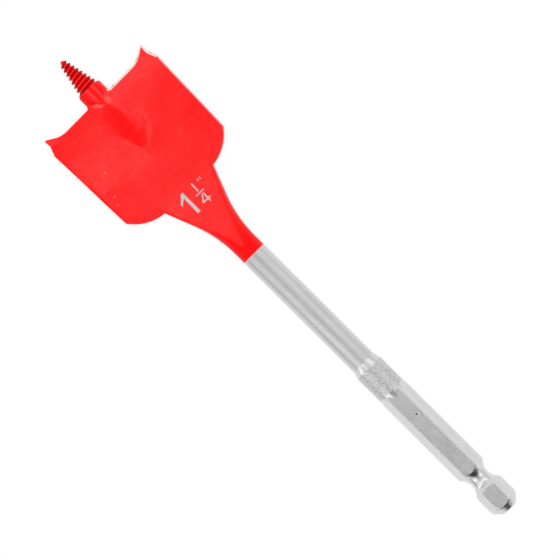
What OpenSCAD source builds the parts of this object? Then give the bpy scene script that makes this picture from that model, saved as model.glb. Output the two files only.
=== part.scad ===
// Spade drill bit with a screw point, forged in one piece.
// The bit lies along X: the shank's end face is at x = 0 and the screw point is at +X.
// The blade is flat in the XY plane, and its marked face looks up, at +Z.

/* [Overall] */
// Length from the shank's end face to the screw's point
overall_l = 139.6; // [130:0.1:200]

/* [Hex drive] */
// Width across the flats of the hex
hex_af = 6.35; // [6:0.05:8.5]
// How far the hex corners are turned down, on the diameter
corner_trim = 0.08; // [0.02:0.02:0.4]
// Length from the end face to the shoulder where the flats begin
hex_l = 34.8; // [28:0.1:45]
// Distance from the end face to the middle of the detent groove
groove_x = 9.34; // [7:0.02:14]
// Diameter at the bottom of the detent groove
groove_root_d = 4.7; // [4:0.05:5.4]
// Radius of the groove's hollow, seen from the side
groove_r = 3.42; // [2.5:0.02:4.5]
// Diameter of the flat end face
end_face_d = 3.8; // [3:0.1:5]
// Radius that blends the end's bevel into the hex corners
end_round = 1.9; // [0.8:0.1:2.6]
// Angle of the end's bevel
end_angle = 45; // [30:1:60]

/* [Shank] */
// Diameter of the round shank
shank_d = 6; // [5:0.05:7]
// How far the collar is proud of the hex flats, on the diameter
collar_proud = 0.65; // [0.2:0.05:0.9]
// Length of the collar between its two bevels
collar_l = 7; // [4:0.1:12]
// Length of the bevel between collar and round shank
collar_bevel_l = 1.75; // [0.8:0.05:3]
// Length of the scalloped shoulder between collar and hex flats
shoulder_l = 2; // [1:0.1:3]

/* [Neck] */
// Half width of the neck where it runs into the blade
neck_root = 7.58; // [6:0.02:9]
// Angle between the neck's straight flank and the axis
neck_angle = 21.2; // [16:0.2:28]
// Radius of the sweep from the round shank into the flank
neck_sweep_r = 28.7; // [18:0.1:36]
// Length over which the neck's flats thin down to the blade
neck_flat_l = 18.2; // [14:0.1:24]

/* [Blade] */
// Cutting width across the blade's two shoulders
blade_w = 31.75; // [26:0.05:40]
// Thickness of the blade
blade_t = 3; // [2.2:0.1:4]
// Length from the cutting lips to the back of the blade
blade_l = 28.2; // [24:0.1:36]
// How much narrower the blade is at its rear corners
rear_less = 1.35; // [0:0.05:4]
// Length from the cutting lips to the rear corners
side_l = 23.7; // [18:0.1:24.5]
// Radius of the rounded back of each wing
rear_r = 10.7; // [9:0.1:14]
// Angle at which the lips and spurs are ground back from their cutting edges
relief = 8; // [4:0.5:14]

/* [Wing curve] */
// Length of the curve pressed into each wing behind its lip
curve_l = 15.5; // [10:0.1:19]
// Depth of the curve: a hollow on the wing's cutting face, a swell on its back
curve_depth = 0.5; // [0.2:0.05:0.9]
// Width over which the curve runs out beside the axis
curve_runout = 2; // [1:0.1:4]

/* [Spurs] */
// Distance from the blade's full width in to the outer side of each spur
spur_inset = 0.8; // [0.5:0.025:2]
// Height of the spurs above the cutting lips
spur_h = 1.84; // [1:0.02:3]
// Width of each spur's blunt tip
spur_tip = 0.45; // [0.2:0.05:1]
// Angle between the spur's inner slope and the lip
spur_slope = 31; // [22:1:45]
// Radius of the hollow between lip and spur
lip_r = 5.4; // [3:0.1:7]
// Depth of the notch at the foot of the spur's outer side
spur_undercut = 0.1; // [0:0.02:0.3]
// Length of the spur's outer side
spur_side_l = 1.7; // [1:0.05:2.5]
// Length of the sloping shoulder from the spur's foot to the full width
spur_shoulder_l = 2.25; // [1.5:0.05:4]

/* [Boss] */
// Diameter of the round boss that carries the screw
boss_d = 5.9; // [5.4:0.02:7]
// Length from the boss's front to the cutting lips
boss_l = 3.27; // [2.4:0.01:5]
// Length of the bevel at the front of the boss
boss_bevel_l = 0.35; // [0.2:0.05:0.8]
// Diameter of the boss's front face
boss_front_d = 5.25; // [5:0.05:5.8]
// Angle at which the boss's front leans with the first turn of the thread
boss_lean = 4; // [0:0.5:8]
// Length over which the boss runs out into the blade's face
boss_runout_l = 2.2; // [1.5:0.1:4]
// Fillet between boss and cutting lip
boss_fillet = 0.7; // [0.3:0.05:1.2]

/* [Screw point] */
// Length of the screw from the boss to its point
screw_l = 8.45; // [6:0.05:11]
// Diameter over the thread where it meets the boss
screw_d = 5.45; // [4:0.05:5.5]
// Diameter over the thread at the point
screw_tip_d = 1.84; // [1.4:0.02:2.2]
// Distance from one turn of the thread to the next
pitch = 1.03; // [0.8:0.01:1.6]
// Depth of the thread
thread_h = 0.55; // [0.3:0.01:0.65]

/* [Hidden] */
$fn = 96;

// Margin by which cutters pass the faces they cut
over = 2;
// Small step that keeps faces from lying in one plane
nick = 0.02;

// Stations along the axis, from the shank's end to the point
x_boss = overall_l - screw_l;
x_lip = x_boss - boss_l;
x_back = x_lip - blade_l;
x_rear = x_lip - side_l;
x_spur = x_lip + spur_h;
x_spur_foot = x_spur - spur_side_l;
x_wide = x_spur_foot - spur_shoulder_l;
x_collar = hex_l + shoulder_l;
x_shank = x_collar + collar_l + collar_bevel_l;

// Hex drive
corner_d = hex_af / cos(30) - corner_trim;
collar_d = hex_af + collar_proud;

// Neck: a swept flank that starts tangent to the round shank
sweep_rise = neck_sweep_r * (1 - cos(neck_angle));
sweep_run = neck_sweep_r * sin(neck_angle);
flank_run = (neck_root - shank_d / 2 - sweep_rise) / tan(neck_angle);
x_neck = x_back - flank_run - sweep_run;
// The part of the neck that is buried in the blade
neck_bury = 3;

// Blade
blade_y = blade_w / 2;
rear_y = (blade_w - rear_less) / 2;
side_taper = (blade_y - rear_y) / (x_wide - x_rear);
rear_cx = x_back + rear_r;
rear_cy = rear_y - sqrt(pow(rear_r, 2) - pow(rear_cx - x_rear, 2));
// The blade's middle reaches forward under the boss
stub_y = boss_d / 2 - nick;
x_stub = x_boss - boss_bevel_l - 4 * nick;

// Cutting lip: straight, then hollow, then up the inner slope of the spur
spur_y = blade_y - spur_inset;
slope_run = (spur_h - lip_r * (1 - cos(spur_slope))) / tan(spur_slope);
lip_arc_y = spur_y - spur_tip - slope_run - lip_r * sin(spur_slope);
shoulder_dy = spur_inset + spur_undercut;

// Wing curve: one arc, whose axis lies across the bit
x_curve = x_lip - curve_l / 2;
curve_r = (pow(curve_l / 2, 2) + pow(curve_depth, 2)) / 2 / curve_depth;

// Screw point: steps around each turn, and the turns of thread that start inside the boss
turn_steps = 28;
turns_sunk = 1.9;
// Where the flat root between two turns begins and ends, as shares of the pitch
root_from = 0.4;
root_to = 0.6;
// Length of the plain point in front of the thread
point_l = 0.25;
// Share of a turn over which the thread fades into the point
fade = 0.35;
screw_steps = round(turn_steps * ((screw_l - point_l) / pitch - root_to + turns_sunk));

function arc(cx, cy, r, from, to, n = 12) =
    [for (i = [0 : n]) let (a = from + (to - from) * i / n) [cx + r * cos(a), cy + r * sin(a)]];

// Turns a profile of [distance along the axis, radius] points about the X axis
module turned(profile) {
    rotate([0, 90, 0])
        rotate_extrude()
            polygon([for (p = profile) [p[1], p[0]]]);
}

// Hex bar, with its corners turned, its end rounded and the detent groove cut
module hex_drive() {
    round_c = corner_d / 2 - end_round;
    bevel_r = round_c + end_round * cos(end_angle);
    bevel_x = (bevel_r - end_face_d / 2) / tan(end_angle);
    round_x = bevel_x + end_round * sin(end_angle);
    color("silver")
        intersection() {
            rotate([0, 90, 0])
                rotate([0, 0, 30])
                    cylinder(d = hex_af / cos(30), h = x_collar, $fn = 6);
            rotate([0, 90, 0])
                rotate_extrude()
                    difference() {
                        polygon(concat(
                            [[0, 0], [end_face_d / 2, 0]],
                            arc(round_c, round_x, end_round, -end_angle, 0, 8),
                            [[corner_d / 2, hex_l], [collar_d / 2 - nick, x_collar], [0, x_collar]]
                        ));
                        translate([groove_root_d / 2 + groove_r, groove_x])
                            circle(r = groove_r);
                    }
        }
}

// Collar and round shank
module shank() {
    color("silver")
        turned([
            [hex_l - nick, 0],
            [hex_l - nick, hex_af / 2 - 2 * nick],
            [x_collar, collar_d / 2],
            [x_collar + collar_l, collar_d / 2],
            [x_shank, shank_d / 2],
            [x_neck, shank_d / 2],
            [x_neck, 0],
        ]);
}

// Neck: a turned flare, flattened on both faces until it is as thin as the blade
module neck() {
    flat_slope = (shank_d - blade_t) / 2 / neck_flat_l;
    x_flat = x_back + neck_bury / 2 - neck_flat_l;
    x_end = x_back + neck_bury;
    z_end = blade_t / 2 - flat_slope * neck_bury / 2;
    z_start = shank_d / 2 + flat_slope * (x_flat - x_neck + over);
    color("red")
        intersection() {
            turned(concat(
                [[x_neck, 0]],
                arc(x_neck, shank_d / 2 + neck_sweep_r, neck_sweep_r, -90, neck_angle - 90),
                [[x_end, neck_root + neck_bury * tan(neck_angle)], [x_end, 0]]
            ));
            rotate([90, 0, 0])
                linear_extrude(2 * blade_w, center = true)
                    polygon([
                        [x_neck - over, -z_start], [x_end + over, -z_end + over * flat_slope],
                        [x_end + over, z_end - over * flat_slope], [x_neck - over, z_start],
                    ]);
        }
}

// Outline of the blade before its front is ground
module blade_outline() {
    half = concat(
        [[x_back, 0]],
        arc(rear_cx, rear_cy, rear_r, 180, 90 + acos((rear_y - rear_cy) / rear_r), 14),
        [[x_stub, rear_y + side_taper * (x_stub - x_rear)], [x_stub, 0]]
    );
    polygon(half);
    mirror([0, 1]) polygon(half);
}

// What the grinding takes away in front of one wing, seen on its cutting face
module lip_outline() {
    reach = over / spur_shoulder_l;
    polygon(concat(
        [[x_stub + over, stub_y]],
        arc(x_lip + boss_fillet, stub_y + boss_fillet, boss_fillet, 270, 180, 6),
        arc(x_lip + lip_r, lip_arc_y, lip_r, 180, 180 - spur_slope, 8),
        [
            [x_spur, spur_y - spur_tip],
            [x_spur, spur_y],
            [x_spur_foot, spur_y - spur_undercut],
            [x_wide - over, blade_y + reach * shoulder_dy],
            [x_stub + over, blade_y + reach * shoulder_dy],
        ]
    ));
}

// One wing's grinding cut, leaning back from the cutting edge on its upper face
module lip_cut() {
    translate([x_lip, 0, blade_t / 2])
        rotate([0, relief, 0])
            translate([-x_lip, 0, -blade_t - over])
                linear_extrude(blade_t + 2 * over)
                    lip_outline();
}

// A roller across one wing, whose rounded rim reaches down past height z by the curve's depth
// and which tapers beside the axis until it leaves that height
module roller(z) {
    taper = curve_depth / curve_runout;
    translate([x_curve, 0, z - curve_depth + curve_r])
        rotate([-90, 0, 0])
            rotate_extrude($fn = 4 * $fn)
                polygon([
                    [0, -over],
                    [curve_r - curve_depth - over * taper, -over],
                    [curve_r, curve_runout],
                    [curve_r, blade_y + over],
                    [0, blade_y + over],
                ]);
}

// The swell that the pressing leaves on the back of one wing
module wing_back() {
    intersection() {
        translate([0, 0, -blade_t / 2 - 2 * curve_depth])
            linear_extrude(blade_t / 2 + 2 * curve_depth)
                blade_outline();
        roller(-blade_t / 2);
    }
}

// Blade: a plate whose two wings are curved and ground to cut on opposite faces
module blade() {
    color("red")
        difference() {
            union() {
                translate([0, 0, -blade_t / 2])
                    linear_extrude(blade_t)
                        blade_outline();
                wing_back();
                rotate([180, 0, 0]) wing_back();
            }
            roller(blade_t / 2);
            rotate([180, 0, 0]) roller(blade_t / 2);
            lip_cut();
            rotate([180, 0, 0]) lip_cut();
        }
}

// Round boss in front of the blade, running out into both faces
module boss() {
    x_runout = x_lip + boss_fillet;
    runout_slope = (boss_d - blade_t) / 2 / boss_runout_l;
    bevel_slope = (boss_d - boss_front_d) / 2 / boss_bevel_l;
    color("red")
        intersection() {
            turned([
                [x_runout - boss_d / 2 / runout_slope, 0],
                [x_runout, boss_d / 2],
                [x_boss + over, boss_d / 2],
                [x_boss + over, 0],
            ]);
            translate([x_boss, 0, 0])
                rotate([0, 0, -boss_lean])
                    turned([
                        [-blade_l, 0],
                        [-blade_l, boss_d],
                        [-boss_bevel_l - boss_d / 2 / bevel_slope, boss_d],
                        [0, boss_front_d / 2],
                        [0, 0],
                    ]);
        }
}

// Radius over the thread, and of its core, at a distance in front of the boss
function crest_r(d) = screw_d / 2 - (screw_d - screw_tip_d) / 2 * d / screw_l;
function core_r(d) = crest_r(d) - thread_h;

// The thread grows out of the core over its first turn and fades into the point
function thread_share(i) = min(1, i / turn_steps, (screw_steps - i) / turn_steps / fade);

// One point of the thread: its crest, or the start or end of the root that follows it
function thread_point(i, shift, height) =
    let (a = 360 * i / turn_steps)
    let (d = pitch * (i / turn_steps + shift - turns_sunk))
    let (r = core_r(d) + height * thread_h)
    [x_boss + d, r * cos(a), r * sin(a)];

// Two triangles that fill the four corners a, b, c and d
function quad(a, b, c, d) = [[a, d, c], [a, c, b]];

// Screw point: a tapered right-hand thread that pulls the bit into the wood
module screw_point() {
    n = turn_steps;
    m = screw_steps;
    rows = [for (i = [0 : m]) each [
        thread_point(i, 0, thread_share(i)),
        thread_point(i, root_from, 0),
        thread_point(i, root_to, 0),
    ]];
    base = len(rows);
    tip = base + 1;
    sides = [for (i = [0 : m - 1]) each concat(
        quad(3 * i, 3 * i + 3, 3 * i + 4, 3 * i + 1),
        quad(3 * i + 1, 3 * i + 4, 3 * i + 5, 3 * i + 2),
        i + n < m ? quad(3 * i + 2, 3 * i + 5, 3 * (i + n) + 3, 3 * (i + n)) : []
    )];
    bottom = concat(
        [for (i = [0 : n - 1]) [base, 3 * i, 3 * i + 3]],
        [[base, 3 * n, 2], [base, 2, 1], [base, 1, 0]]
    );
    top = concat(
        [for (i = [m - n : m - 1]) [tip, 3 * i + 5, 3 * i + 2]],
        [[tip, 3 * m + 1, 3 * m + 2], [tip, 3 * m, 3 * m + 1], [tip, 3 * (m - n) + 2, 3 * m]]
    );
    color("red")
        polyhedron(
            concat(rows, [[x_boss - (turns_sunk + 0.5) * pitch, 0, 0], [overall_l, 0, 0]]),
            concat(sides, bottom, top)
        );
}

// The whole bit
module spade_bit() {
    hex_drive();
    shank();
    neck();
    blade();
    boss();
    screw_point();
}

spade_bit();
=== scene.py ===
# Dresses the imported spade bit: forged and coated blade, bare steel shank, camera, light and floor
import math

import bmesh
import bpy
from mathutils import Matrix, Vector, geometry, noise


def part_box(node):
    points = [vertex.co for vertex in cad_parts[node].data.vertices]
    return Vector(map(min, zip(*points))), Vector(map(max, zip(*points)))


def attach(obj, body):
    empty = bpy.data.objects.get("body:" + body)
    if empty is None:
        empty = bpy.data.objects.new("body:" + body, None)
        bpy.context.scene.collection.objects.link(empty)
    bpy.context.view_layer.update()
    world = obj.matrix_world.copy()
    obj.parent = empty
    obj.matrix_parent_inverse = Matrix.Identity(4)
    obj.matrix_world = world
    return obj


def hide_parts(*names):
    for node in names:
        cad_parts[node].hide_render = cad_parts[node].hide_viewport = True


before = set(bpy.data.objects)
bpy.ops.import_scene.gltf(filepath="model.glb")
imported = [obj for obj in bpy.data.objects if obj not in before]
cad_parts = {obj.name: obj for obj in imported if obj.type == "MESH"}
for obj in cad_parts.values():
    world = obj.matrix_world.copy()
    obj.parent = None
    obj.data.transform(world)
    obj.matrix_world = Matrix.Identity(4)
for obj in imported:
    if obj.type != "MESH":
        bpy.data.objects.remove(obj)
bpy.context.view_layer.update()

mm = 0.001
bitNode = "spade_bit"
bitLow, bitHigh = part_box(bitNode)
pointX = bitHigh.x / mm  # screw point, measured from the shank's end face
bladeY = bitHigh.y / mm  # half the cutting width
collarR = bitHigh.z / mm  # the collar is the thickest part
floorZ = bitLow.z
print("frame loaded: bit", round(pointX, 1), "mm long")


# small maths

def softMin(a, b, blend):
    near = max(blend - abs(a - b), 0.0) / blend
    return min(a, b) - near * near * blend / 4


def softMax(a, b, blend):
    return -softMin(-a, -b, blend)


def ramp(value, start, end):
    return min(max((value - start) / (end - start), 0.0), 1.0)


def ease(value, start, end):
    t = ramp(value, start, end)
    return t * t * (3 - 2 * t)


def spread(start, end, step):
    count = max(1, round(abs(end - start) / step))
    return [start + (end - start) * i / count for i in range(count + 1)]


def grain(x, y, z, seed):
    return noise.noise(Vector((x + 17.3 * seed, y - 5.1 * seed, z + 3.7 * seed)))


# hex drive, collar, round shank and neck: one bar, with a radius for each station and direction

bar = {
    "flatR": 3.175,  # half of 6.35 across flats
    "cornerTrim": 0.04,
    "hexL": 34.8,
    "grooveX": 9.34,
    "grooveRootR": 2.35,
    "grooveR": 3.42,
    "grooveSoft": 0.12,
    "endFaceR": 1.9,
    "endRound": 1.9,
    "endAngle": math.radians(45),
    "shoulderL": 2.0,
    "runLead": 0.5,
    "runSink": 0.04,  # the hollow run to the collar starts this far below the flats
    "runPower": 1.3,
    "cornerUnder": 0.02,  # the hex corners end this far inside the collar
    "collarL": 7.0,
    "collarBevelL": 1.75,
    "shankR": 3.0,
    "edgeSoft": 0.06,  # rounding of the hex edges
    "coatX": 79.6,  # the red coat begins here
    "coatThick": 0.02,
    "coatEdgeL": 0.06,
    "around": 216,  # points around the bar
    "crowd": 0.7,  # draws them to the hex edges
    "edgeRing": 0.06,  # close rings keep the edges crisp
    "ringGap": 0.03,  # rings nearer than this are left out
    "hammerDepth": 0.06,  # rolled texture of the collar
    "hammerStreaks": (0.9, 3.4),  # scale along the bar and around it
    "hammerChips": (4.0, 3.8),
    "hammerFine": (5.2, 4.7),
    "coneHammer": 0.35,  # share of the depth on the bevel
    "dimpleX": 29.18,
    "dimpleAngle": math.radians(100.5),
    "dimpleR": 0.22,
    "dimpleDepth": 0.2,
}

neck = {
    "rootY": 7.58,  # half width where the neck meets the blade
    "angle": math.radians(21.2),
    "sweepR": 28.7,
    "flatL": 18.2,
    "bury": 3.0,
    "overrun": 0.6,  # the bar runs on inside the blade
    "edgeSoft": 0.5,
    "edgeLeast": 0.02,
    "edgeRun": (2, 3),  # the rounding grows from before the flats to behind their start
    "flatSoft": 0.18,  # how gently the flats meet the blade
    "flatUnder": 0.005,
    "flatSkin": 0.05,  # faces this near the flats take their coat
}

blade = {
    "thick": 3.0,
    "length": 28.2,
    "rearLess": 0.675,  # narrower at each rear corner
    "sideL": 23.7,
    "rearR": 10.7,
    "relief": math.radians(8),
    "curveL": 15.5,
    "curveDepth": 0.5,
    "curveRunout": (1.7, 4.6),  # left of the axis: at the rear of the curve, at its front
    "curveRunoutX": (112.5, 123),
    "rightRunout": 2.4,
    "curveSoft": 0.06,
    "rearStep": 0.12,  # small step where the curve ends
    "rearStepX": 111.2,
    "rightStep": 2.2,  # times as high on the right
    "rightBend": 1.6,  # and bent forward there
    "pocket": 0.25,  # hollow behind the boss
    "pocketX": 113.2,
    "pocketLeft": (1.4, 0.31),  # offset and slope of its left side
    "pocketRight": (0.7, 0.97),
    "pocketEndX": (125, 117),  # it fades towards the boss
    "pocketEndY": (-7.5, -1.5),  # and to the right
    "edgeR": 0.14,  # coated edges
    "cutEdgeR": 0.03,  # sharp ground edges
    "heelEdgeR": 0.17,  # blunt heel behind each lip
    "gridStep": 0.55,
    "edgeClear": 0.16,  # inner points keep this far from the outline
    "forging": 0.06,  # height of the uneven forged faces
    "forgingScale": (0.17, 0.45),
    "forgingFine": 0.4,  # share of the finer waves
}

spur = {
    "inset": 0.8,
    "height": 1.84,
    "tip": 0.45,
    "slope": math.radians(31),
    "lipR": 5.4,
    "undercut": 0.1,
    "sideL": 1.7,
    "shoulderL": 2.25,
}

boss = {
    "r": 2.95,
    "length": 3.27,
    "bevelL": 0.35,
    "bevelSoft": 0.12,
    "frontR": 2.625,
    "lean": math.radians(4),
    "runoutL": 2.2,
    "runoutSoft": 0.2,
    "fillet": 0.7,
    "faceFillet": 0.9,  # soft hollow where the boss runs out into the blade
    "swellUnder": (0.03, 0.3),  # the blade stays inside the boss: least, and more beyond the lips
    "swellTop": 1.2,
    "stubUnder": 0.02,
    "stubGap": 0.08,  # the blade ends this far inside the boss
    "startL": 2.2,  # its rings start this far behind the lips
    "step": 0.12,
    "ridges": 0.07,
    "ridgeScale": (0.25, 2.4),  # along the boss and around it
    "flutes": ((4.0, 0.06, 7.0), (-27.0, 0.06, 7.0)),  # angle from the top, height, width in degrees
    "frontFall": 25.0,  # the front face falls off this steeply
}

screw = {
    "length": 8.45,
    "r": 2.725,
    "tipR": 0.92,
    "pitch": 1.03,
    "depth": 0.55,
    "turnsSunk": 1.9,
    "rootFrom": 0.4,
    "rootTo": 0.6,
    "pointL": 0.25,
    "fadeL": 0.4,
    "crestSoft": 0.03,
    "coatFrom": 0.16,  # the flanks above this share of the depth take the darker thread colour, painted shade
    "leastR": 0.02,
    "startL": 0.6,  # its rings start this far inside the boss
    "step": 0.045,
    "endL": 0.3,
    "endRings": (0.22, 0.15, 0.08, 0.03, 0.0),  # before the point
    "around": 72,
}

# stations along the bit
collarX = bar["hexL"] + bar["shoulderL"]
collarEndX = collarX + bar["collarL"]
shankX = collarEndX + bar["collarBevelL"]
bossX = pointX - screw["length"]
lipX = bossX - boss["length"]
backX = lipX - blade["length"]
rearX = lipX - blade["sideL"]
spurX = lipX + spur["height"]
spurFootX = spurX - spur["sideL"]
wideX = spurFootX - spur["shoulderL"]
sweepRise = neck["sweepR"] * (1 - math.cos(neck["angle"]))
sweepRun = neck["sweepR"] * math.sin(neck["angle"])
flankRun = (neck["rootY"] - bar["shankR"] - sweepRise) / math.tan(neck["angle"])
neckX = backX - flankRun - sweepRun
neckEndX = backX + neck["bury"] + neck["overrun"]
halfThick = blade["thick"] / 2
flatSlope = (bar["shankR"] - halfThick) / neck["flatL"]
flatX = backX + neck["bury"] / 2 - neck["flatL"]
threadX = bossX - screw["pitch"] / 2
bossSlope = (boss["r"] - halfThick) / boss["runoutL"]


def neckFlatZ(x):
    line = bar["shankR"] - flatSlope * (x - flatX)
    return softMax(line, halfThick - neck["flatUnder"], neck["flatSoft"])


def hexTurnedR(x):
    cornerR = bar["flatR"] / math.cos(math.pi / 6) - bar["cornerTrim"]
    roundC = cornerR - bar["endRound"]
    bevelR = roundC + bar["endRound"] * math.cos(bar["endAngle"])
    bevelX = (bevelR - bar["endFaceR"]) / math.tan(bar["endAngle"])
    roundX = bevelX + bar["endRound"] * math.sin(bar["endAngle"])
    r = cornerR
    if x < bevelX:
        r = bar["endFaceR"] + x * math.tan(bar["endAngle"])
    elif x < roundX:
        r = roundC + math.sqrt(bar["endRound"] ** 2 - (roundX - x) ** 2)
    reach = abs(x - bar["grooveX"])
    if reach < bar["grooveR"]:
        groove = bar["grooveRootR"] + bar["grooveR"] - math.sqrt(bar["grooveR"] ** 2 - reach ** 2)
        r = softMin(r, groove, bar["grooveSoft"])
    if x > bar["hexL"]:
        r += (collarR - bar["cornerUnder"] - cornerR) * ramp(x, bar["hexL"], collarX)
    return r


def hexFlatR(angle):
    return bar["flatR"] / math.cos(angle % (math.pi / 3) - math.pi / 6)


def skinGrain(x, angle, scale, seed):
    along, around = scale
    y, z = math.cos(angle) * collarR, math.sin(angle) * collarR
    return grain(x * along, y * around, z * around, seed)


def collarHammer(x, angle):
    inside = ease(x, collarX + 0.05, collarX + 0.5) * ease(x, shankX - 0.05, shankX - 0.5)
    inside *= ease(abs(x - collarEndX), 0.03, 0.3)  # the edge between collar and bevel stays clean
    streaks = skinGrain(x, angle, bar["hammerStreaks"], 1)
    chips = skinGrain(x, angle, bar["hammerChips"], 2) + 0.4 * skinGrain(x, angle, bar["hammerFine"], 3)
    return -bar["hammerDepth"] * inside * ramp(0.4 * streaks + 0.9 * chips, 0.75, -0.75)


def barDimple(x, angle):
    dx = x - bar["dimpleX"]
    da = (angle - bar["dimpleAngle"]) * bar["flatR"]
    return bar["dimpleDepth"] * math.exp(-(dx * dx + da * da) / bar["dimpleR"] ** 2)


def neckFlareR(x):
    run = x - neckX
    if run <= 0:
        return bar["shankR"]
    if run < sweepRun:
        return bar["shankR"] + neck["sweepR"] - math.sqrt(neck["sweepR"] ** 2 - run * run)
    return bar["shankR"] + sweepRise + (run - sweepRun) * math.tan(neck["angle"])


def barRadius(x, angle):
    if x <= collarX:
        r = softMin(hexFlatR(angle), hexTurnedR(x), bar["edgeSoft"])
        if x > bar["hexL"] - bar["runLead"]:
            rise = ramp(x, bar["hexL"], collarX) ** bar["runPower"]
            runR = bar["flatR"] - bar["runSink"] + (collarR - bar["flatR"] + bar["runSink"]) * rise
            r = softMax(r, runR, bar["edgeSoft"])
        return r - barDimple(x, angle)
    if x <= collarEndX:
        return collarR + collarHammer(x, angle)
    if x <= shankX:
        bevel = (bar["shankR"] - collarR) * (x - collarEndX) / bar["collarBevelL"]
        return collarR + bevel + bar["coneHammer"] * collarHammer(x, angle)
    coat = bar["coatThick"] * ease(x, bar["coatX"], bar["coatX"] + bar["coatEdgeL"])
    r = neckFlareR(x)
    before, behind = neck["edgeRun"]
    if x > flatX - before:
        blend = neck["edgeSoft"] * ramp(x, flatX - before, flatX + behind) + neck["edgeLeast"]
        r = softMin(r, neckFlatZ(x) / max(abs(math.sin(angle)), 1e-4), blend)
    return r + coat


def barAngle(x, turn):
    angle = 2 * math.pi * turn
    crowd = bar["crowd"] * (1 - ramp(x, bar["hexL"], collarX))
    angle -= crowd * math.sin(6 * angle) / 6
    if x > flatX:  # more points at the neck's narrow flanks
        squash = neckFlatZ(x) / neckFlareR(x)
        angle = math.atan2(squash * math.sin(angle), math.cos(angle)) % (2 * math.pi)
    return angle


def barStations():
    runs = (  # from, to, spacing of the rings
        (0, 3.6, 0.12),
        (3.6, 6.6, 0.5),
        (6.2, 12.6, 0.14),
        (12.6, bar["hexL"], 1.2),
        (bar["hexL"] - bar["runLead"], collarX, 0.1),
        (collarX, collarEndX, 0.1),
        (collarEndX, shankX, 0.12),
        (shankX, neckX, 1.5),
        (neckX - 1, neckEndX, 0.36),
        (bar["dimpleX"] - 0.6, bar["dimpleX"] + 0.6, 0.08),
    )
    found = [x for run in runs for x in spread(*run)]
    for edge in (collarX, collarEndX, shankX, bar["coatX"]):
        found += [edge - bar["edgeRing"], edge, edge + bar["edgeRing"]]
    found.sort()
    kept = [found[0]]
    for x in found[1:]:
        if x - kept[-1] > bar["ringGap"]:
            kept.append(x)
    return kept


# mesh builders

def ringSkin(bm, rings, materialAt):
    count = len(rings[0])
    for low, high in zip(rings, rings[1:]):
        for i in range(count):
            j = (i + 1) % count
            face = bm.faces.new((low[i], low[j], high[j], high[i]))
            face.material_index = materialAt(face.calc_center_median() / mm)
    for ring, flip in ((rings[0], True), (rings[-1], False)):
        face = bm.faces.new(list(reversed(ring)) if flip else ring)
        face.material_index = materialAt(ring[0].co / mm)


def latheObject(name, stations, around, angleAt, radiusAt, materialAt):
    bm = bmesh.new()
    rings = []
    for x in stations:
        ring = []
        for i in range(around):
            angle = angleAt(x, i / around)
            r = radiusAt(x, angle)
            ring.append(bm.verts.new((x * mm, r * math.cos(angle) * mm, r * math.sin(angle) * mm)))
        rings.append(ring)
    ringSkin(bm, rings, materialAt)
    return meshObject(name, bm)


def meshObject(name, bm):
    bmesh.ops.recalc_face_normals(bm, faces=bm.faces)
    mesh = bpy.data.meshes.new(name)
    bm.to_mesh(mesh)
    bm.free()
    piece = bpy.data.objects.new(name, mesh)
    bpy.context.scene.collection.objects.link(piece)
    return piece


def quadObject(name, middle, edgeA, edgeB):
    bm = bmesh.new()
    corners = []
    for a, b in ((-1, -1), (1, -1), (1, 1), (-1, 1)):
        corners.append(bm.verts.new(Vector(middle) + a * Vector(edgeA) + b * Vector(edgeB)))
    bm.faces.new(corners)
    return meshObject(name, bm)


def evaluatedMesh(piece):
    bpy.context.view_layer.update()
    return bpy.data.meshes.new_from_object(piece.evaluated_get(bpy.context.evaluated_depsgraph_get()))


redSlot, steelSlot, groundSlot, threadShadeSlot, bossSlot, flankSlot = range(6)


def makeBar():
    def slotAt(place):
        if place.x < bar["coatX"]:
            return steelSlot
        return redSlot if abs(place.z) > neckFlatZ(place.x) - neck["flatSkin"] else flankSlot
    return latheObject("bar", barStations(), bar["around"], barAngle, barRadius, slotAt)


bitBar = makeBar()
print("bar made:", len(bitBar.data.polygons), "faces")


# boss and screw point

def threadShape(phase):
    p = phase % 1.0
    if p < screw["rootFrom"]:
        share = 1 - p / screw["rootFrom"]
    elif p < screw["rootTo"]:
        share = 0.0
    else:
        share = (p - screw["rootTo"]) / (1 - screw["rootTo"])
    return softMin(share, 1 - screw["crestSoft"], screw["crestSoft"] * 2)


def threadPhase(x, angle):
    return (x - bossX) / screw["pitch"] + screw["turnsSunk"] - angle / (2 * math.pi)


def screwRadius(x, angle):
    crest = screw["r"] - (screw["r"] - screw["tipR"]) * (x - bossX) / screw["length"]
    core = crest - screw["depth"]
    endX = pointX - screw["pointL"]
    share = threadShape(threadPhase(x, angle)) * ramp(x, endX, endX - screw["fadeL"])
    tipRound = math.sqrt(max(1 - ramp(x, endX, pointX) ** 2, 0.002))
    return max((core + screw["depth"] * share) * tipRound, screw["leastR"])


def bossRadius(x, angle):
    front = bossX + boss["frontR"] * math.cos(angle) * math.tan(boss["lean"])
    bevel = (boss["r"] - boss["frontR"]) / boss["bevelL"]
    slant = bevel if x < front else boss["frontFall"]
    r = softMin(boss["r"], boss["frontR"] + (front - x) * slant, boss["bevelSoft"])
    runoutX = lipX + boss["fillet"]
    r = softMin(r, boss["r"] + (x - runoutX) * bossSlope, boss["runoutSoft"])
    along, around = boss["ridgeScale"]
    lines = grain(x * along, math.cos(angle) * around, math.sin(angle) * around, 5)
    away = math.degrees(angle) - 90
    if abs(away) > 90:  # the back has the same flutes
        away -= math.copysign(180, away)
    flutes = sum(height * math.exp(-((away + at) / width) ** 2) for at, height, width in boss["flutes"])
    return r + (boss["ridges"] * lines + flutes) * ramp(x, bossX - 0.2, bossX - 0.9)


def bossScrewRadius(x, angle):
    r = bossRadius(x, angle)
    return max(r, screwRadius(x, angle)) if x > threadX else r


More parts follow.
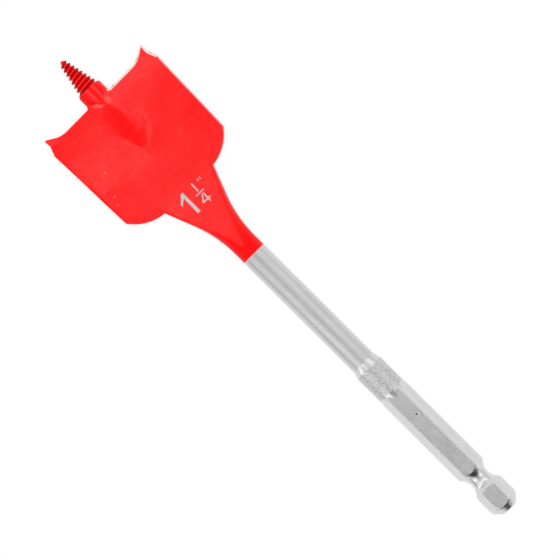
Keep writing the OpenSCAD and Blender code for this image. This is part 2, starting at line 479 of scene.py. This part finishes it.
def makeBossScrew():
    fineX = bossX - screw["startL"]
    stations = spread(lipX - boss["startL"], fineX, boss["step"])
    stations += spread(fineX, pointX - screw["endL"], screw["step"])[1:]
    stations += [pointX - before for before in screw["endRings"]]

    def evenAngle(x, turn):
        return 2 * math.pi * turn

    def coatAt(place):
        angle = math.atan2(place.z, place.y)
        if place.x <= threadX or screwRadius(place.x, angle) < bossRadius(place.x, angle):
            return bossSlot
        ridge = threadShape(threadPhase(place.x, angle)) > screw["coatFrom"]
        return threadShadeSlot if ridge else redSlot
    return latheObject("boss_screw", stations, screw["around"], evenAngle, bossScrewRadius, coatAt)


bossScrew = makeBossScrew()
print("boss and screw made:", len(bossScrew.data.polygons), "faces")


# blade

def arcPoints(cx, cy, r, start, end, count):
    steps = [start + (end - start) * i / count for i in range(count + 1)]
    return [(cx + r * math.cos(a), cy + r * math.sin(a)) for a in steps]


def wingFront():
    spurY = bladeY - spur["inset"]
    slopeRun = (spur["height"] - spur["lipR"] * (1 - math.cos(spur["slope"]))) / math.tan(spur["slope"])
    arcY = spurY - spur["tip"] - slopeRun - spur["lipR"] * math.sin(spur["slope"])
    stubY = boss["r"] - boss["stubUnder"]
    filletX = lipX + boss["fillet"]
    points = arcPoints(filletX, stubY + boss["fillet"], boss["fillet"], 1.5 * math.pi, math.pi, 6)
    lastY = points[-1][1]
    points += [(lipX, lastY + (arcY - lastY) * i / 10) for i in range(1, 10)]
    points += arcPoints(lipX + spur["lipR"], arcY, spur["lipR"], math.pi, math.pi - spur["slope"], 8)
    lowX, lowY = points[-1]
    points += [((lowX + spurX) / 2, (lowY + spurY - spur["tip"]) / 2)]
    points += [(spurX, spurY - spur["tip"]), (spurX, spurY)]
    points += [(spurFootX, spurY - spur["undercut"]), (wideX, bladeY)]
    return points


def wingRear():
    rearY = bladeY - blade["rearLess"]
    rearCx = backX + blade["rearR"]
    rearCy = rearY - math.sqrt(blade["rearR"] ** 2 - (rearCx - rearX) ** 2)
    cornerAngle = math.pi / 2 + math.acos((rearY - rearCy) / blade["rearR"])
    sides = [(x, rearY + (bladeY - rearY) * ramp(x, rearX, wideX)) for x in spread(wideX, rearX, 1.5)[1:-1]]
    back = [(backX, rearCy * i / 6) for i in range(5, 0, -1)]
    return sides + arcPoints(rearCx, rearCy, blade["rearR"], cornerAngle, math.pi, 14) + back


def wingCurve(x, y):
    curveX = lipX - blade["curveL"] / 2
    depth = blade["curveDepth"]
    r = ((blade["curveL"] / 2) ** 2 + depth ** 2) / (2 * depth)
    reach = min(abs(x - curveX), r)
    drop = softMax(math.sqrt(r * r - reach * reach) - r + depth, 0.0, blade["curveSoft"])
    if y > 0:
        stepX = blade["rearStepX"]
        step = ease(x, stepX - 1.2, stepX + 1.0) * ease(y, 13, 6)
    else:
        stepX = blade["rearStepX"] + blade["rightBend"] * ramp(y, -14, -4.5) ** 2
        step = blade["rightStep"] * ease(x, stepX - 0.6, stepX + 0.6)
        step *= ease(y, -15.5, -12)
        step *= ease(y, -2.5, -9)
    drop += blade["rearStep"] * step * ease(x, stepX + 6, stepX + 1.5)
    rearRun, frontRun = blade["curveRunout"]
    run = rearRun + (frontRun - rearRun) * ease(x, *blade["curveRunoutX"])
    if y < 0:
        run = blade["rightRunout"]
    side = max(-1.0, min(1.0, y / run))
    return -drop * math.sin(side * math.pi / 2)


def bossPocket(x, y):
    run = x - blade["pocketX"]
    leftStart, leftSlope = blade["pocketLeft"]
    rightStart, rightSlope = blade["pocketRight"]
    leftLine = leftStart + leftSlope * run - y
    rightLine = (y + rightStart + rightSlope * run) * 0.72  # mm across the line
    inside = ease(leftLine, -0.6, 0.5) * ease(rightLine, -0.5, 1.5)
    inside *= ease(x, *blade["pocketEndX"])
    inside *= ease(y, *blade["pocketEndY"])
    return -blade["pocket"] * inside


def bossSwellZ(x, y):
    r = boss["r"] + min(x - lipX - boss["fillet"], 0.0) * bossSlope
    if r <= abs(y):
        return -1.0
    least, more = boss["swellUnder"]
    under = least + more * ramp(x, lipX - 0.2, lipX + 0.7)
    return min(math.sqrt(r * r - y * y) - under, halfThick + boss["swellTop"])


def bladeZ(x, y, level):
    lift = wingCurve(x, y)
    face = ramp(abs(level), halfThick - blade["edgeR"], halfThick)
    broad, fine = blade["forgingScale"]
    waves = grain(x * broad, y * broad, level, 7)
    waves += blade["forgingFine"] * grain(x * fine, y * fine, level, 8)
    uneven = blade["forging"] * waves
    sign = math.copysign(1, level)
    z = level + lift + face * uneven * sign
    if abs(level) == halfThick:
        z += sign * bossPocket(x, sign * y)
        z = sign * softMax(sign * z, bossSwellZ(x, y), boss["faceFillet"])
    return z


def insetPoint(loop, i, amount):
    before, here, after = (Vector(loop[(i + k) % len(loop)]) for k in (-1, 0, 1))
    n1 = (here - before).orthogonal().normalized()
    n2 = (after - here).orthogonal().normalized()
    mid = (n1 + n2).normalized()
    return here + mid * amount / max(mid.dot(n1), 0.5)


def bladeLoop(level, rounding):
    front, rear = wingFront(), wingRear()
    stubX = bossX - boss["bevelL"] - boss["stubGap"]
    stub = [(stubX, front[0][1] * share) for share in (0.0, 0.5, 1.0)]
    loop, cuts, insets = [], [], []
    for side in (1, -1):
        back = (halfThick - side * level) * math.tan(blade["relief"])
        groundR = blade["heelEdgeR"] if side * level < 0 else blade["cutEdgeR"]
        wing = [(x, y, False) for x, y in stub]
        wing += [(x - back, y, True) for x, y in front[1:]]
        wing += [(x, y, False) for x, y in rear]
        if side < 0:
            wing = [(x, -y, cut) for x, y, cut in reversed(wing)][:-1]
            wing = [(backX, 0.0, False)] + wing
        for x, y, cut in wing:
            loop.append((x, y))
            cuts.append(cut)
            insets.append((groundR if cut else blade["edgeR"]) * rounding)
    return [insetPoint(loop, i, inset) for i, inset in enumerate(insets)], cuts


def bladeVert(bm, p, level):
    return bm.verts.new((p.x * mm, p.y * mm, bladeZ(p.x, p.y, level) * mm))


def makeBlade():
    rounding = ((1.0, 1.0), (0.3, 0.62), (0.0, 0.0))  # share of the inset, then of the way out to the face
    levels = [(-halfThick + blade["edgeR"] * (1 - out), inset) for inset, out in rounding]
    levels += [(-level, inset) for level, inset in reversed(levels)]
    bm = bmesh.new()
    rings = []
    for level, inset in levels:
        loop, cuts = bladeLoop(level, inset)
        rings.append([(p, bladeVert(bm, p, level)) for p in loop])
    count = len(cuts)
    for low, high in zip(rings, rings[1:]):
        for i in range(count):
            j = (i + 1) % count
            face = bm.faces.new((low[i][1], low[j][1], high[j][1], high[i][1]))
            face.material_index = groundSlot if cuts[i] and cuts[j] else redSlot
    bladeFace(bm, rings[0], -halfThick)
    bladeFace(bm, rings[-1], halfThick)
    return meshObject("blade", bm)


def facePoints():
    step = blade["gridStep"]
    stepX, pocketX = blade["rearStepX"], blade["pocketX"]
    grids = (  # x range, y range, steps, shift
        ((backX + 0.3, bossX), (-bladeY, bladeY), (step, step), (0, 0)),
        ((lipX - 2.6, lipX + 0.6), (-3.6, 3.6), (0.2, 0.2), (0.05, 0.03)),  # where the boss runs out
        ((stepX - 0.9, stepX + 2.3), (-14, 14), (0.25, 0.4), (0.03, 0.07)),  # at the small step
        ((pocketX + 0.4, pocketX + 8), (-5.5, 4), (0.27, 0.27), (0.04, 0.02)),  # in the pocket
    )
    points = []
    for rangeX, rangeY, (alongStep, acrossStep), (shiftX, shiftY) in grids:
        for x in spread(*rangeX, alongStep):
            points += [Vector((x + shiftX, y + shiftY)) for y in spread(*rangeY, acrossStep)]
    return points


def bladeFace(bm, ring, level):
    outline = [p for p, vert in ring]
    count = len(outline)
    edges = [(i, (i + 1) % count) for i in range(count)]
    inside = [p for p in facePoints() if clearOf(p, outline)]
    points, _, tris, origins, _, _ = geometry.delaunay_2d_cdt(outline + inside, edges, [], 1, 1e-6)
    verts = []
    for p, origin in zip(points, origins):
        old = [i for i in origin if i < count]
        verts.append(ring[old[0]][1] if old else bladeVert(bm, p, level))
    for tri in tris:
        corners = [verts[i] for i in tri]
        if len(set(corners)) == 3:
            bm.faces.new(corners if level > 0 else corners[::-1])


def clearOf(p, outline):
    for i in range(len(outline)):
        a, b = outline[i - 1], outline[i]
        share = geometry.intersect_point_line(p, a, b)[1]
        near = a.lerp(b, min(max(share, 0.0), 1.0))
        if (p - near.to_2d()).length < blade["edgeClear"]:
            return False
    return True


bladePlate = makeBlade()
print("blade made:", len(bladePlate.data.polygons), "faces")


def unite(body, *others):
    for other in others:
        cut = body.modifiers.new("unite", "BOOLEAN")
        cut.operation = "UNION"
        cut.solver = "EXACT"
        cut.object = other
        done = evaluatedMesh(body)
        body.modifiers.clear()
        body.data = done
        bpy.data.objects.remove(other)
    return body


# finishes

def finishNodes(name):
    material = bpy.data.materials.new(name)
    material.use_nodes = True
    tree = material.node_tree
    shader = tree.nodes["Principled BSDF"]
    return material, tree, shader


def addNode(tree, kind, inputs=None, **settings):
    node = tree.nodes.new(kind)
    for key, value in settings.items():
        setattr(node, key, value)
    for key, value in (inputs or {}).items():
        if isinstance(value, bpy.types.NodeSocket):
            tree.links.new(value, node.inputs[key])
        else:
            node.inputs[key].default_value = value
    return node


def placed(tree, scale):
    where = addNode(tree, "ShaderNodeTexCoord")
    spot = addNode(tree, "ShaderNodeMapping", {"Vector": where.outputs["Object"], "Scale": scale})
    return spot.outputs["Vector"]


def noiseOf(tree, scale, detail=3.0, rough=0.5):
    inputs = {"Vector": placed(tree, scale), "Scale": 1.0, "Detail": detail, "Roughness": rough}
    return addNode(tree, "ShaderNodeTexNoise", inputs).outputs["Fac"]


def rampOf(tree, fac, low, high, lowAt=0.35, highAt=0.65):
    node = addNode(tree, "ShaderNodeValToRGB", {"Fac": fac})
    node.color_ramp.elements[0].position = lowAt
    node.color_ramp.elements[0].color = (*low, 1)
    node.color_ramp.elements[1].position = highAt
    node.color_ramp.elements[1].color = (*high, 1)
    return node.outputs["Color"]


def rangeOf(tree, value, toMin, toMax, fromMin=0.3, fromMax=0.7):
    inputs = {"Value": value, "From Min": fromMin, "From Max": fromMax, "To Min": toMin, "To Max": toMax}
    return addNode(tree, "ShaderNodeMapRange", inputs).outputs["Result"]


def mathOf(tree, operation, *values):
    return addNode(tree, "ShaderNodeMath", dict(enumerate(values)), operation=operation).outputs[0]


def mixOf(tree, factor, colorA, colorB, blend="MIX"):
    inputs = {0: factor, 6: colorA, 7: colorB}
    return addNode(tree, "ShaderNodeMix", inputs, data_type="RGBA", blend_type=blend).outputs[2]


def bumpOf(tree, height, distance, strength):
    inputs = {"Height": height, "Distance": distance, "Strength": strength}
    return addNode(tree, "ShaderNodeBump", inputs).outputs["Normal"]


def patchOf(tree, middle, angle, half, soft):
    where = addNode(tree, "ShaderNodeTexCoord").outputs["Object"]
    inputs = {"Vector": where, "Location": Vector(middle) * mm}
    inputs.update({"Rotation": (0, 0, angle), "Scale": Vector(half) * mm})
    local = addNode(tree, "ShaderNodeMapping", inputs, vector_type="TEXTURE").outputs["Vector"]
    reach = addNode(tree, "ShaderNodeVectorMath", {0: local}, operation="LENGTH").outputs["Value"]
    return rangeOf(tree, reach, 1.0, 0.0, 1 - soft, 1.0)


coatGrain = {  # noise scales of every red coat
    "blotch": (170, 170, 170),
    "sheen": (900, 900, 900),
    "peel": (2600, 2600, 2600),
    "peelHeight": 0.00001,
}

redFinish = {
    "deep": (0.88, 0.0012, 0.0016),
    "plain": (0.95, 0.0065, 0.007),
    "roughLow": 0.2,
    "roughHigh": 0.3,
    "gloss": 0.5,
    "thin": (0.96, 0.1, 0.1),  # painted highlights at the foot of the boss and on the pocket rim, and light specks
    "highlightsAndSpecks": (  # middle, turn, half sizes, softness
        # painted highlights: three at the foot of the boss, one along the pocket rim
        ((127.05, 1.25, 1.6), math.radians(52), (1.25, 0.45, 1.3), 1.0),
        ((126.4, -1.5, 1.6), 0.0, (1.3, 0.9, 1.3), 1.3),
        ((126.3, 0.6, 1.6), 0.0, (0.4, 0.8, 1.3), 1.2),
        ((114.8, -2.9, 1.4), math.radians(-49), (3.7, 0.85, 1.3), 3.4),
        # light specks on the coat
        ((115.45, 10.5, 1.1), 0.0, (0.34, 0.34, 1.3), 0.6),
        ((110.15, 12.7, 1.3), 0.0, (0.34, 0.34, 1.3), 0.6),
        ((108.4, 13.5, 1.3), 0.0, (0.3, 0.3, 1.3), 0.6),
        ((123.4, 4.4, 1.1), 0.0, (0.22, 0.22, 1.3), 0.6),
    ),
}

bossFinish = {
    "deep": (0.9, 0.007, 0.0075),
    "plain": (0.95, 0.012, 0.0125),
    "roughLow": 0.3,
    "roughHigh": 0.4,
    "gloss": 0.06,
    "thin": (0.96, 0.05, 0.05),  # painted highlight streaks along the boss
    "streaks": (  # angle from the top, half width, strength
        (14.0, 13.0, 0.35),
        (4.0, 8.0, 1.0),
        (-26.0, 9.0, 1.0),
    ),
}

flankFinish = {
    "deep": (0.92, 0.004, 0.0045),
    "plain": (0.97, 0.008, 0.0085),
    "roughLow": 0.3,
    "roughHigh": 0.4,
    "gloss": 0.1,
}

# darker red on the thread's flanks and crests: painted shade
threadShadeFinish = {
    "deep": (0.42, 0.0006, 0.0006),
    "plain": (0.52, 0.001, 0.001),
    "roughLow": 0.35,
    "roughHigh": 0.5,
    "gloss": 0.08,
}


# band around the boss's axis where a painted highlight streak lies
def highlightStreakOf(tree, at, width, strength):
    place = addNode(tree, "ShaderNodeSeparateXYZ", {0: placed(tree, (1, 1, 1))}).outputs
    angle = mathOf(tree, "ARCTANGENT", mathOf(tree, "DIVIDE", place["Y"], place["Z"]))
    reach = mathOf(tree, "ABSOLUTE", mathOf(tree, "SUBTRACT", angle, math.radians(at)))
    return rangeOf(tree, reach, strength, 0.0, 0.0, math.radians(width))


def makeRedCoat(name, coat):
    material, tree, shader = finishNodes(name)
    color = rampOf(tree, noiseOf(tree, coatGrain["blotch"]), coat["deep"], coat["plain"])
    # the lighter red paints highlights and specks on the blade, and highlight streaks on the boss
    for patch in coat.get("highlightsAndSpecks", ()):
        color = mixOf(tree, patchOf(tree, *patch), color, (*coat["thin"], 1))
    for highlightStreak in coat.get("streaks", ()):
        color = mixOf(tree, highlightStreakOf(tree, *highlightStreak), color, (*coat["thin"], 1))
    sheen = rangeOf(tree, noiseOf(tree, coatGrain["sheen"], 4.0), coat["roughLow"], coat["roughHigh"])
    peel = bumpOf(tree, noiseOf(tree, coatGrain["peel"]), coatGrain["peelHeight"], 0.5)
    tree.links.new(color, shader.inputs["Base Color"])
    tree.links.new(sheen, shader.inputs["Roughness"])
    tree.links.new(peel, shader.inputs["Normal"])
    shader.inputs["Specular IOR Level"].default_value = coat["gloss"]
    return material


steelFinish = {
    "dark": (0.64, 0.64, 0.645),
    "light": (0.72, 0.72, 0.72),
    "drawn": (90, 1100, 1100),  # noise scales: streaks along the drawn bar
    "brushed": (500, 1100, 1100),
    "scratches": (300, 2400, 2400),
    "scratchHeight": 0.00001,
    "pit": (0.06, 0.06, 0.06),
    "pitReach": (0.16, 0.32),
    "roughLow": 0.22,
    "roughHigh": 0.36,
    "shankTint": (0.96, 0.96, 0.96),  # the round shank is a little duller
    "shankRough": 0.37,
    "skinRough": 0.47,  # the collar keeps its rolled skin
    "skinDark": (0.43, 0.43, 0.43),
    "skinLight": (0.82, 0.82, 0.82),
    "rolled": (2300, 3600, 3600),
}


def makeBareSteel():
    material, tree, shader = finishNodes("bare_steel")
    drawn = noiseOf(tree, steelFinish["drawn"], 5.0, 0.6)
    metal = rampOf(tree, drawn, steelFinish["dark"], steelFinish["light"], 0.25, 0.75)
    pitAngle, pitR = bar["dimpleAngle"], bar["flatR"] * mm
    pitPlace = (bar["dimpleX"] * mm, pitR * math.cos(pitAngle), pitR * math.sin(pitAngle))
    here = placed(tree, (1, 1, 1))
    # the dimple is coloured dark
    reach = addNode(tree, "ShaderNodeVectorMath", {0: here, 1: pitPlace}, operation="DISTANCE")
    near, far = steelFinish["pitReach"]
    pitDarkening = rangeOf(tree, reach.outputs["Value"], 1.0, 0.0, near * mm, far * mm)
    along = addNode(tree, "ShaderNodeSeparateXYZ", {0: here}).outputs["X"]
    rise = rangeOf(tree, along, 0.0, 1.0, (collarX - 0.1) * mm, (collarX + 0.15) * mm)
    fall = rangeOf(tree, along, 1.0, 0.0, (collarEndX - 0.1) * mm, (collarEndX + 0.05) * mm)
    skin = mathOf(tree, "MULTIPLY", rise, fall)
    rolled = noiseOf(tree, steelFinish["rolled"], 4.0, 0.65)
    mottle = rampOf(tree, rolled, steelFinish["skinDark"], steelFinish["skinLight"], 0.3, 0.7)
    onShank = rangeOf(tree, along, 0.0, 1.0, (shankX - 0.1) * mm, (shankX + 0.1) * mm)
    tint = mixOf(tree, onShank, (1, 1, 1, 1), (*steelFinish["shankTint"], 1))
    dull = mixOf(tree, 1.0, metal, tint, "MULTIPLY")
    skinned = mixOf(tree, skin, dull, mottle)
    tree.links.new(mixOf(tree, pitDarkening, skinned, (*steelFinish["pit"], 1)), shader.inputs["Base Color"])
    brushed = noiseOf(tree, steelFinish["brushed"], 4.0)
    drawnRough = rangeOf(tree, brushed, steelFinish["roughLow"], steelFinish["roughHigh"])
    barRough = addNode(tree, "ShaderNodeMix", {0: onShank, 2: drawnRough, 3: steelFinish["shankRough"]})
    rough = addNode(tree, "ShaderNodeMix", {0: skin, 2: barRough.outputs[0], 3: steelFinish["skinRough"]})
    tree.links.new(rough.outputs[0], shader.inputs["Roughness"])
    scratches = noiseOf(tree, steelFinish["scratches"], 4.0)
    tree.links.new(bumpOf(tree, scratches, steelFinish["scratchHeight"], 0.5), shader.inputs["Normal"])
    shader.inputs["Metallic"].default_value = 1.0
    return material


groundFinish = {
    # the pink tint of the ground steel is a painted reflection of the red coat
    "dark": (0.84, 0.58, 0.55),
    "light": (0.98, 0.74, 0.71),
    "lines": (300, 300, 5200),
    "roughLow": 0.25,
    "roughHigh": 0.4,
    "grime": (0.16, 0.1, 0.09),
    "specks": (  # middle, turn, half sizes, softness
        ((127.85, -4.2, -1.2), 0.0, (0.9, 0.55, 2.4), 0.7),
        ((128.3, -12.3, -1.2), math.radians(-60), (1.1, 0.55, 2.6), 0.6),
        ((126.95, -15.4, -1.2), math.radians(-65), (0.7, 0.5, 1.8), 1.0),
    ),
}


def makeGroundSteel():
    material, tree, shader = finishNodes("ground_steel")
    lines = noiseOf(tree, groundFinish["lines"])
    steel = rampOf(tree, lines, groundFinish["dark"], groundFinish["light"])
    grime = 0.0
    for speck in groundFinish["specks"]:
        grime = mathOf(tree, "MAXIMUM", grime, patchOf(tree, *speck))
    tree.links.new(mixOf(tree, grime, steel, (*groundFinish["grime"], 1)), shader.inputs["Base Color"])
    tree.links.new(rangeOf(tree, grime, 1.0, 0.0, 0.0, 1.0), shader.inputs["Metallic"])
    rough = rangeOf(tree, lines, groundFinish["roughLow"], groundFinish["roughHigh"])
    tree.links.new(rough, shader.inputs["Roughness"])
    shader.inputs["Specular IOR Level"].default_value = 0.0  # the grime has no gloss
    return material


finishes = [  # in the order of the slots
    makeRedCoat("red_coat", redFinish),
    makeBareSteel(),
    makeGroundSteel(),
    makeRedCoat("thread_coat_painted_shade", threadShadeFinish),
    makeRedCoat("boss_coat", bossFinish),
    makeRedCoat("flank_coat", flankFinish),
]

for part in (bitBar, bladePlate, bossScrew):
    for finish in finishes:
        part.data.materials.append(finish)
bit = unite(bitBar, bladePlate, bossScrew)
bit.name = "dressed_bit"
bit.data.shade_smooth()
bit.data.set_sharp_from_angle(angle=math.radians(32))
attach(bit, "root")
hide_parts(bitNode)
print("bit dressed:", len(bit.data.polygons), "faces")


# size mark: bare strokes in the coat, 1 1/4 inch

mark = {
    "stem": 0.66,  # stroke of the large figure
    "fine": 0.3,  # stroke of the fraction
    "topX": pointX - 39.35,
    "lowX": pointX - 45.05,
    "stemY": 1.8,  # large figure, left of the axis
    "oneY": -1.3,
    "tickY": (-2.95, -3.6),
    "lift": 0.012,
    "thick": 0.01,
}


def markOutlines():
    top, low = mark["topX"], mark["lowX"]
    half, fine = mark["stem"] / 2, mark["fine"] / 2
    stemY = mark["stemY"]
    large = [(top, stemY - half), (low, stemY - half - 0.06)]
    large += [(low, stemY + half + 0.06), (top - 1.1, stemY + half)]
    large += [(top - 1.75, stemY + 1.15), (top - 2.3, stemY + 1.82)]
    large += [(top - 1.75, stemY + 1.85), (top - 0.9, stemY + 1.0), (top, stemY + 0.18)]
    oneY = mark["oneY"]
    small = [(top, oneY - fine), (top - 2.3, oneY - fine), (top - 2.3, oneY + fine), (top, oneY + fine)]
    lineX = top - 2.75
    line = [(lineX + 0.12, -0.15), (lineX - 0.12, -0.15), (lineX - 0.12, -2.5), (lineX + 0.12, -2.5)]
    fourTop = top - 3.3
    postY = -1.8
    crossX = low + 0.8
    post = [(fourTop, postY - fine), (low, postY - fine), (low, postY + fine), (fourTop, postY + fine)]
    arm = [(crossX + fine, -0.25), (crossX - fine, -0.25), (crossX - fine, -2.45), (crossX + fine, -2.45)]
    slant = [(fourTop, postY + fine + 0.02), (fourTop, postY + fine + 0.34)]
    slant += [(crossX + fine, -0.25), (crossX + fine, -0.62)]
    ticks = []
    for y in mark["tickY"]:
        right = [(top - 0.15, y - 0.13), (top - 0.75, y - 0.06)]
        ticks.append(right + [(top - 0.75, y + 0.06), (top - 0.15, y + 0.13)])
    return [large, small, line, post, arm, slant] + ticks


def makeMark(finish):
    curve = bpy.data.curves.new("size_mark", "CURVE")
    curve.dimensions = "2D"
    curve.fill_mode = "BOTH"
    curve.extrude = mark["thick"] * mm
    for outline in markOutlines():
        spline = curve.splines.new("POLY")
        spline.points.add(len(outline) - 1)
        for point, (x, y) in zip(spline.points, outline):
            point.co = ((x - mark["lowX"]) * mm, y * mm, 0, 1)
        spline.use_cyclic_u = True
    tilt = Matrix.Rotation(math.atan(flatSlope), 4, "Y")
    seatZ = neckFlatZ(mark["lowX"]) + bar["coatThick"] + mark["lift"]
    seat = Matrix.Translation((mark["lowX"] * mm, 0, seatZ * mm))
    holder = bpy.data.objects.new("size_mark_curve", curve)
    bpy.context.scene.collection.objects.link(holder)
    mesh = evaluatedMesh(holder)
    mesh.transform(seat @ tilt)
    bpy.data.objects.remove(holder)
    mesh.name = "size_mark"
    mesh.materials.clear()
    mesh.materials.append(finish)
    piece = bpy.data.objects.new("size_mark", mesh)
    bpy.context.scene.collection.objects.link(piece)
    return piece


markFinish = {
    "color": (0.58, 0.58, 0.58),
    "dark": 0.85,  # share of the colour in the darker specks
    "speckle": (4000, 4000, 4000),
    "rough": 0.5,
    "metal": 0.3,
}


def makeMarkFinish():
    material, tree, shader = finishNodes("etched_mark")
    speckle = noiseOf(tree, markFinish["speckle"], 2.0)
    low = tuple(c * markFinish["dark"] for c in markFinish["color"])
    tree.links.new(rampOf(tree, speckle, low, markFinish["color"]), shader.inputs["Base Color"])
    shader.inputs["Roughness"].default_value = markFinish["rough"]
    shader.inputs["Metallic"].default_value = markFinish["metal"]
    return material


sizeMark = makeMark(makeMarkFinish())
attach(sizeMark, "root")
print("size mark made")


# floor, light and camera

studio = {
    "floorSize": 3.0,
    "floorX": 0.07,  # middle of the floor, under the bit
    "floorColor": (0.9, 0.9, 0.9, 1),
    "floorRough": 0.9,
    "floorGlow": 0.85,  # share of plain white in what the camera sees of the floor
    "ambient": 0.37,
    "backdrop": 1.0,
}


def lightPathSees(tree):
    path = addNode(tree, "ShaderNodeLightPath").outputs
    seen = mathOf(tree, "MAXIMUM", path["Is Camera Ray"], path["Is Glossy Ray"])
    return mathOf(tree, "MAXIMUM", seen, path["Is Transmission Ray"])


def makeFloor():
    half = studio["floorSize"] / 2
    floor = quadObject("floor", (studio["floorX"], 0, floorZ), (half, 0, 0), (0, half, 0))
    material, tree, shader = finishNodes("floor_white")
    shader.inputs["Base Color"].default_value = studio["floorColor"]
    shader.inputs["Roughness"].default_value = studio["floorRough"]
    glow = addNode(tree, "ShaderNodeEmission", {"Strength": studio["backdrop"]})
    seen = mathOf(tree, "MULTIPLY", lightPathSees(tree), studio["floorGlow"])
    mix = addNode(tree, "ShaderNodeMixShader", {0: seen, 1: shader.outputs[0], 2: glow.outputs[0]})
    tree.links.new(mix.outputs[0], tree.nodes["Material Output"].inputs["Surface"])
    floor.data.materials.append(material)


def makeWorld():
    world = bpy.data.worlds.new("studio")
    bpy.context.scene.world = world
    world.use_nodes = True
    world.cycles.sampling_method = "NONE"
    tree = world.node_tree
    ground = tree.nodes["Background"]
    ground.inputs["Color"].default_value = (1, 1, 1, 1)
    level = rangeOf(tree, lightPathSees(tree), studio["ambient"], studio["backdrop"], 0.0, 1.0)
    tree.links.new(level, ground.inputs["Strength"])


lamps = {
    # name: (place in metres from the aim, size, power); they light the coat and don't show in the steel
    "top": ((0.0, -0.09, 0.9), (0.4, 0.4), 7.2),
}

cards = {
    # name: (middle in metres from the aim, two half edges, glow at the shank end, glow at the point end)
    "overhead": ((-0.26, 0.03, 1.0), (0.49, 0, 0), (0, 0.33, 0), 0.3, 0.74),
    "overLeft": ((-0.1, 0.9, 1.0), (0.65, 0, 0), (0, 0.5, 0), 0.85, 0.85),
    "overRight": ((0.0, -0.85, 1.0), (0.75, 0, 0), (0, 0.55, 0), 0.8, 0.8),
    "bright": ((0.48, 0.0, 0.8), (0.25, 0, -0.2), (0, 0.95, 0), 1.8, 0.4),
    "flag": ((0.0506, 0.059, 0.080), (0.019, 0, 0), (0, 0.028, -0.0225), 0.02, 0.02),
    "veil": ((0.0435, -0.03, 0.15), (0.02, 0, 0), (0, 0.035, 0), 0.4, 0.4),
    "lift": ((0.0626, 0.05, 0.15), (0.016, 0, 0), (0, 0.03, 0), 1.75, 1.75),
    "dark": ((-0.85, 0.0, 0.63), (0, 0.55, 0), (0, 0, 0.58), 0.02, 0.02),
    "darkLow": ((-0.6, 0.0, 0.024), (0, 0.12, 0), (0, 0, 0.027), 0.03, 0.03),
    # painted floor shadow: dark sheets on the floor beyond the shank end stand in for its shade in the
    # steel's reflections
    "floorShadowFar": ((-0.58, 0.0, -0.0032), (0.45, 0, 0), (0, 0.06, 0), 0.03, 0.03),
    "floorShadowNear": ((-0.107, 0.0, -0.0031), (0.023, 0, 0), (0, 0.008, 0), 0.03, 0.03),
    "left": ((0.0, 0.9, 0.18), (0.9, 0, 0), (0, 0, 0.16), 0.42, 0.42),
    "right": ((0.0, -0.9, 0.1), (0.9, 0, 0), (0, 0, 0.13), 0.6, 0.6),
    "cornerA": ((0.44, 0.76, 0.38), (-0.15, 0.09, 0), (0.05, -0.18, 0.3), 1.7, 1.7),
    "cornerB": ((0.42, -0.7, 0.57), (0.15, 0.09, 0), (-0.07, 0.12, 0.2), 1.35, 1.35),
    "cornerC": ((-0.36, 0.58, 0.74), (0.1, 0.06, 0), (0.02, -0.2, 0.17), 2.4, 2.4),
    "cornerD": ((-0.37, -0.62, 0.7), (-0.1, 0.06, 0), (0.02, 0.14, 0.15), 2.0, 2.0),
}

view = {
    "aimX": 71.4,
    "aimY": 0.08,
    "frameWidth": 123.5,  # mm across the picture
    "lens": 400.0,
    "sensor": 36.0,
    "roll": 6.0,  # the bit lies rolled towards its right wing
    "tipUp": (-0.70859, 0.70562),  # picture direction of the bit's axis, to the point
}
aim = Vector((view["aimX"] * mm, view["aimY"] * mm, 0))


def makeLamps():
    for name, (place, size, power) in lamps.items():
        data = bpy.data.lights.new(name, "AREA")
        data.shape = "RECTANGLE"
        data.size, data.size_y = size
        data.energy = power
        data.cycles.use_multiple_importance_sampling = False  # no trace of the lamp in the gloss
        lamp = bpy.data.objects.new(name, data)
        lamp.location = aim + Vector(place)
        lamp.rotation_euler = Vector(place).to_track_quat("Z", "Y").to_euler()
        lamp.visible_glossy = False
        bpy.context.scene.collection.objects.link(lamp)


def makeCards():
    for name, (middle, edgeA, edgeB, glowShank, glowPoint) in cards.items():
        card = quadObject("card_" + name, aim + Vector(middle), edgeA, edgeB)
        material, tree, shader = finishNodes("card_" + name)
        spot = addNode(tree, "ShaderNodeTexCoord").outputs["Generated"]
        along = addNode(tree, "ShaderNodeSeparateXYZ", {0: spot}).outputs["X"]
        level = rangeOf(tree, along, glowShank, glowPoint, 0.0, 1.0)
        glow = addNode(tree, "ShaderNodeEmission", {"Strength": level})
        tree.links.new(glow.outputs[0], tree.nodes["Material Output"].inputs["Surface"])
        material.cycles.emission_sampling = "NONE"
        card.data.materials.append(material)
        card.visible_camera = False
        card.visible_diffuse = False
        card.visible_shadow = False
        card.visible_transmission = False


def makeCamera():
    roll = math.radians(view["roll"])
    back = Vector((0, -math.sin(roll), math.cos(roll)))
    along = Vector((1, 0, 0))
    across = back.cross(along)
    ax, ay = view["tipUp"]
    right = along * ax - across * ay
    up = along * ay + across * ax
    data = bpy.data.cameras.new("camera")
    data.lens = view["lens"]
    data.sensor_width = view["sensor"]
    camera = bpy.data.objects.new("camera", data)
    distance = view["frameWidth"] * mm * view["lens"] / view["sensor"]
    data.clip_end = distance * 10
    turn = Matrix((right, up, back)).transposed().to_4x4()
    camera.matrix_world = Matrix.Translation(aim + back * distance) @ turn
    bpy.context.scene.collection.objects.link(camera)
    bpy.context.scene.camera = camera


makeFloor()
makeWorld()
makeLamps()
makeCards()
makeCamera()
bpy.context.scene.view_settings.view_transform = "Standard"
print("studio set")
